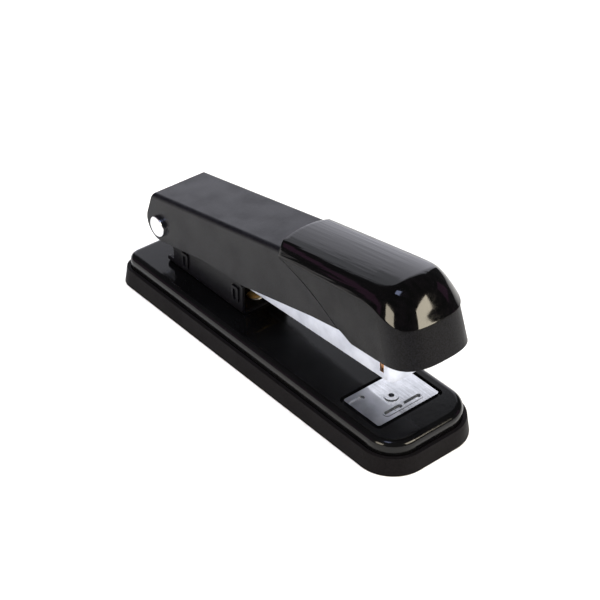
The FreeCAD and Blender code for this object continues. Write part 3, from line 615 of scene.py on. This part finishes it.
low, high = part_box("pusher_spring")
reach = high.y - springLook["wire"] * mm
tail = Vector((low.x, 0, low.z + high.y))
tip = Vector((high.x, 0, high.z - high.y))
run = (tip - tail).normalized()
tail += run * springLook["wire"] * mm
tip -= run * springLook["wire"] * mm
pusherCoil = grown("pusherCoil", bpy.data.meshes.new("pusherCoil"), coils,
                   {"Turns": springLook["pusherTurns"], "Coil Radius": reach, "Length": (tip - tail).length,
                    "Wire Radius": springLook["wire"] * mm, "Place": tail,
                    "Turn": run.to_track_quat("Z", "Y").to_euler()})
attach(pusherCoil, "magazine")
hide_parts("pusher_spring")
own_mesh(pusherCoil)

low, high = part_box("anvil_spring")
middle = (low + high) / 2
anvilCoil = grown("anvilCoil", bpy.data.meshes.new("anvilCoil"), coils,
                  {"Turns": springLook["anvilTurns"], "Coil Radius": high.y - springLook["wire"] * mm,
                   "Length": high.z - low.z - 2 * springLook["wire"] * mm,
                   "Wire Radius": springLook["wire"] * mm,
                   "Place": Vector((middle.x, 0, low.z + springLook["wire"] * mm)), "Turn": Vector((0, 0, 0))})
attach(anvilCoil, "base")
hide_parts("anvil_spring")
print("coil springs made")

stapleLook = {"crown": 12.7, "leg": 6.0, "wire": 0.5, "pitch": 0.5, "gap": 0.03, "shoulder": 0.7,
              "chamfer": 0.08}


def loftMesh(name, rings):
    # rings of points in metres, each joined to the next, with both ends closed
    bm = bmesh.new()
    rows = [[bm.verts.new(spot) for spot in ring] for ring in rings]
    for a, b in zip(rows, rows[1:]):
        for k in range(len(a)):
            n = (k + 1) % len(a)
            bm.faces.new((a[k], a[n], b[n], b[k]))
    bm.faces.new(rows[0])
    bm.faces.new(rows[-1][::-1])
    bmesh.ops.recalc_face_normals(bm, faces=bm.faces)
    return meshFrom(bm, name)


def stapleMesh():
    # one staple in the YZ plane: flattened wire with rounded shoulders, crown up, legs down to z 0
    halfWire = stapleLook["wire"] / 2
    side = stapleLook["crown"] / 2 - halfWire
    high = stapleLook["leg"] - halfWire
    bend = stapleLook["shoulder"] - halfWire
    path = [(-side, 0.0), (-side, high - bend)]
    for k in (1, 2, 3):
        a = math.pi / 2 * k / 3
        path.append((-side + bend * (1 - math.cos(a)), high - bend + bend * math.sin(a)))
    path += [(-y, z) for y, z in reversed(path)]
    deep = stapleLook["pitch"] / 2 - stapleLook["gap"] / 2
    chamfer = stapleLook["chamfer"]
    ring = [(halfWire, -deep + chamfer), (halfWire, deep - chamfer), (halfWire - chamfer, deep),
            (-halfWire, deep), (-halfWire, -deep), (halfWire - chamfer, -deep)]
    rings = []
    for k, (y, z) in enumerate(path):
        before, after = path[max(k - 1, 0)], path[min(k + 1, len(path) - 1)]
        run = Vector((0, after[0] - before[0], after[1] - before[1])).normalized()
        out = Vector((0, -run.z, run.y))
        rings.append([(Vector((x, y, z)) + out * w) * mm for w, x in ring])
    return loftMesh("staple", rings)


tilt = math.radians(magazineTilt)
alongMagazine = Vector((math.cos(tilt), 0, math.sin(tilt)))
low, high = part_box("staple_strip")
lean = stapleLook["leg"] * mm * math.sin(tilt)
stripLength = (high.x - low.x - lean) / math.cos(tilt)
stapleCount = int(stripLength / (stapleLook["pitch"] * mm))
stapleStep = alongMagazine * stapleLook["pitch"] * mm
firstStaple = Vector((low.x + lean, 0, low.z)) + stapleStep / 2
staples = grown("stapleStick", stapleMesh(), rowTree(finishOf["copper_wire"]),
                {"Count": stapleCount, "First": firstStaple, "Step": stapleStep,
                 "Turn": Vector((0, -tilt, 0))})
for face in staples.data.polygons:
    face.use_smooth = False
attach(staples, "magazine")
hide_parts("staple_strip")
print("staples made:", stapleCount)


def turnedMesh(name, profile, sides=36):
    # a closed profile of (radius, height) spun round Z
    angles = [2 * math.pi * k / sides for k in range(sides)]
    return loftMesh(name, [[(r * math.cos(a) * mm, r * math.sin(a) * mm, z * mm) for a in angles]
                           for r, z in profile])


# dome bends the head's profile, crown is the share of its radius that is flat on top
rivetLook = {"shank": 1.5, "head": 2.8, "height": 0.8, "dome": 0.6, "crown": 0.05}


def domedHead(radius, foot, height, steps=6):
    # profile of a rivet head, from its rim up to its crown
    run = []
    for k in range(steps):
        a = math.pi / 2 * k / steps
        run.append((radius * math.cos(a) ** rivetLook["dome"], foot + height * math.sin(a)))
    return run + [(radius * rivetLook["crown"], foot + height)]


low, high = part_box("bracket_rivets")
grip = (high.z - low.z) / mm - 2 * rivetLook["height"]
shape = [(r, -z) for r, z in reversed(domedHead(rivetLook["head"], 0, rivetLook["height"]))]
shape += [(rivetLook["shank"], 0), (rivetLook["shank"], grip)]
shape += domedHead(rivetLook["head"], grip, rivetLook["height"])
apart = high.x - low.x - 2 * rivetLook["head"] * mm
firstRivet = Vector((low.x + rivetLook["head"] * mm, 0, low.z + rivetLook["height"] * mm))
bracketRivets = grown("bracketRivets", turnedMesh("rivet", shape), rowTree(finishOf["zinc_plate"]),
                      {"Count": 2, "First": firstRivet, "Step": Vector((apart, 0, 0)),
                       "Turn": Vector((0, 0, 0))})
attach(bracketRivets, "base")
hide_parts("bracket_rivets")

# ease is how much of the ramp is eased, curl how fast the tip turns down, per metre
liftLook = {"sheet": 0.5, "half": 5.0, "flat": 10.0, "tip": 3.0, "ease": 0.35, "curl": 60.0, "steps": 60}


def leafPiece(name, line, half, sheet, finish, taper=1.0, edgeWidth=0.08):
    # a strip of sheet that follows a line of (x, z), in metres, and may narrow towards its tip
    rings = []
    for k, (x, z) in enumerate(line):
        before, after = line[max(k - 1, 0)], line[min(k + 1, len(line) - 1)]
        run = Vector((after[0] - before[0], 0, after[1] - before[1])).normalized()
        up = Vector((-run.z, 0, run.x)) * sheet
        here = Vector((x, 0, z))
        side = Vector((0, half * mix(1, taper, smooth(k / len(line))), 0))
        rings.append((here - side, here + side, here + up + side, here + up - side))
    made = placed(name, loftMesh(name, rings))
    edge = made.modifiers.new("edge", "BEVEL")
    edge.width = edgeWidth * mm
    edge.segments = 2
    made = applied(made)
    made.data.materials.append(finish)
    return made


low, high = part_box("lift_spring")
flatEnd = low.x + liftLook["flat"] * mm
crest = high.x - liftLook["tip"] * mm
rise = high.z - low.z - liftLook["sheet"] * mm
line = []
for k in range(liftLook["steps"] + 1):
    x = mix(low.x, high.x, k / liftLook["steps"])
    t = (x - flatEnd) / (crest - flatEnd)
    climb = smooth(t) * liftLook["ease"] + min(max(t, 0), 1) * (1 - liftLook["ease"])
    drop = max(x - crest, 0) ** 2 * liftLook["curl"]
    line.append((x, low.z + rise * climb - drop))
liftLeaf = leafPiece("liftLeaf", line, liftLook["half"] * mm, liftLook["sheet"] * mm, finishOf["yellow_zinc"])
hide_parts("lift_spring")
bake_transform(liftLeaf)

# slope is how steeply the ramp sets off, drop how far its tip is below the CAD leaf's, in mm
armLeafLook = {"sheet": 0.5, "flat": 8.0, "drop": 3.6, "tip": 3.0, "taper": 0.65, "slope": 0.75,
               "curl": 80.0, "steps": 80}
low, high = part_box("arm_spring")
flatEnd = low.x + armLeafLook["flat"] * mm
crest = high.x - armLeafLook["tip"] * mm
crestZ = high.z - (armLeafLook["sheet"] + armLeafLook["drop"]) * mm
flatZ = low.z + armLeafLook["flat"] * mm * math.tan(tilt)
line = []
for k in range(armLeafLook["steps"] + 1):
    x = mix(low.x, high.x, k / armLeafLook["steps"])
    if x < flatEnd:
        line.append((x, low.z + (x - low.x) * math.tan(tilt)))
    else:
        t = min((x - flatEnd) / (crest - flatEnd), 1.0)
        climb = armLeafLook["slope"] * t + (1 - armLeafLook["slope"]) * t * t
        drop = max(x - crest, 0) ** 2 * armLeafLook["curl"]
        line.append((x, mix(flatZ, crestZ, climb) - drop))
armLeaf = leafPiece("armLeaf", line, high.y, armLeafLook["sheet"] * mm, finishOf["spring_steel"],
                    armLeafLook["taper"])
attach(armLeaf, "magazine")
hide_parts("arm_spring")
print("leaf springs and rivets made")

studio = {"floorDark": "#f0f0f0", "floorLight": "#f2f2f2", "floorPatch": 60.0, "floorRough": 0.9,
          "floorSize": 6.0, "floorGap": 0.0002, "sky": "#eef1f6", "skyStrength": 0.10}
floorMesh = bpy.data.meshes.new("floor")
half = studio["floorSize"] / 2
corners = [(-half, -half, 0), (half, -half, 0), (half, half, 0), (-half, half, 0)]
floorMesh.from_pydata(corners, [], [(0, 1, 2, 3)])
floor = placed("floor", floorMesh)
floor.location.z = cadLow.z - studio["floorGap"]
floorFinish, floorTree, floorShader, floorPlace = newFinish("paleBoard")
floorPatches = noiseOf(floorTree, floorPlace, studio["floorPatch"])
floorTree.links.new(shades(floorTree, floorPatches, studio["floorDark"], studio["floorLight"]),
                    floorShader.inputs["Base Color"])
floorShader.inputs["Roughness"].default_value = studio["floorRough"]
floorMesh.materials.append(floorFinish)

world = bpy.data.worlds.new("studioSky")
bpy.context.scene.world = world
world.use_nodes = True
background = world.node_tree.nodes["Background"]
background.inputs["Color"].default_value = linear(studio["sky"])
background.inputs["Strength"].default_value = studio["skyStrength"]
bpy.context.scene.view_settings.view_transform = "Standard"

nosePlace = onArm(106.0, 0.0, 8.0)


def turnedBy(azimuth, elevation, distance, about=nosePlace):
    # a place this far from the nose; azimuth counts from the tail side round to the far side
    a, e = math.radians(azimuth), math.radians(elevation)
    return about + distance * Vector((-math.cos(a) * math.cos(e), math.sin(a) * math.cos(e), math.sin(e)))


lamps = {
    # place, aim, size in metres, watts, colour, and whether gloss shows it
    "overheadSoftbox": {"at": Vector((0.05, 0.05, 1.2)), "aim": Vector((0.05, 0.05, 0.0)), "size": (1.6, 1.6),
                        "watts": 28.0, "colour": "#ffffff", "shown": False},
    "tailWall": {"at": Vector((-0.78, 0.62, 0.33)), "aim": Vector((0.04, 0.05, 0.33)), "size": (1.05, 0.66),
                 "watts": 4.0, "colour": "#f4f4ff", "shown": True},
    "tailWallTop": {"at": Vector((-0.78, 0.62, 0.77)), "aim": Vector((0.04, 0.05, 0.77)), "size": (1.05, 0.22),
                    "watts": 0.80, "colour": "#f4f6ff", "shown": True},
    "plumScreen": {"at": turnedBy(-50.0, 14.0, 1.1), "aim": nosePlace, "size": (0.9, 0.20),
                   "watts": 0.5, "colour": "#b070a0", "shown": True},
    "farPlumScreen": {"at": turnedBy(115.0, 17.0, 1.0), "aim": nosePlace, "size": (0.35, 0.3),
                      "watts": 0.25, "colour": "#b070a0", "shown": True},
    "frontSoftbox": {"at": turnedBy(161.0, 25.0, 1.0), "aim": nosePlace, "size": (0.55, 0.28),
                     "watts": 9.0, "colour": "#fff4dc", "shown": True},
    "sideSoftbox": {"at": turnedBy(-96.0, 19.0, 1.0), "aim": nosePlace, "size": (0.40, 0.34),
                    "watts": 6.0, "colour": "#fff4dc", "shown": True},
    "crownSpot": {"at": turnedBy(-110.0, 68.0, 1.0), "aim": nosePlace, "size": (0.24, 0.24),
                  "watts": 1.6, "colour": "#c8d4ff", "shown": True},
}
for name, lamp in lamps.items():
    light = bpy.data.lights.new(name, "AREA")
    light.shape = "RECTANGLE"
    light.size, light.size_y = lamp["size"]
    light.energy = lamp["watts"]
    light.color = linear(lamp["colour"])[:3]
    holder = placed(name, light)
    holder.location = lamp["at"]
    holder.rotation_euler = (lamp["aim"] - lamp["at"]).to_track_quat("-Z", "Y").to_euler()
    holder.visible_glossy = lamp["shown"]

shot = {"at": (0.31407, -0.2584, 0.3165), "azimuth": 50.16, "elevation": 36.14, "lens": 98.09}
cameraData = bpy.data.cameras.new("shot")
cameraData.lens = shot["lens"]
cameraData.sensor_width = 36.0
camera = placed("shot", cameraData)
azimuth, elevation = math.radians(shot["azimuth"]), math.radians(shot["elevation"])
towards = -Vector((math.sin(azimuth) * math.cos(elevation), -math.cos(azimuth) * math.cos(elevation),
                   math.sin(elevation)))
camera.location = shot["at"]
camera.rotation_euler = towards.to_track_quat("-Z", "Y").to_euler()
bpy.context.scene.camera = camera
print("camera and lights set")
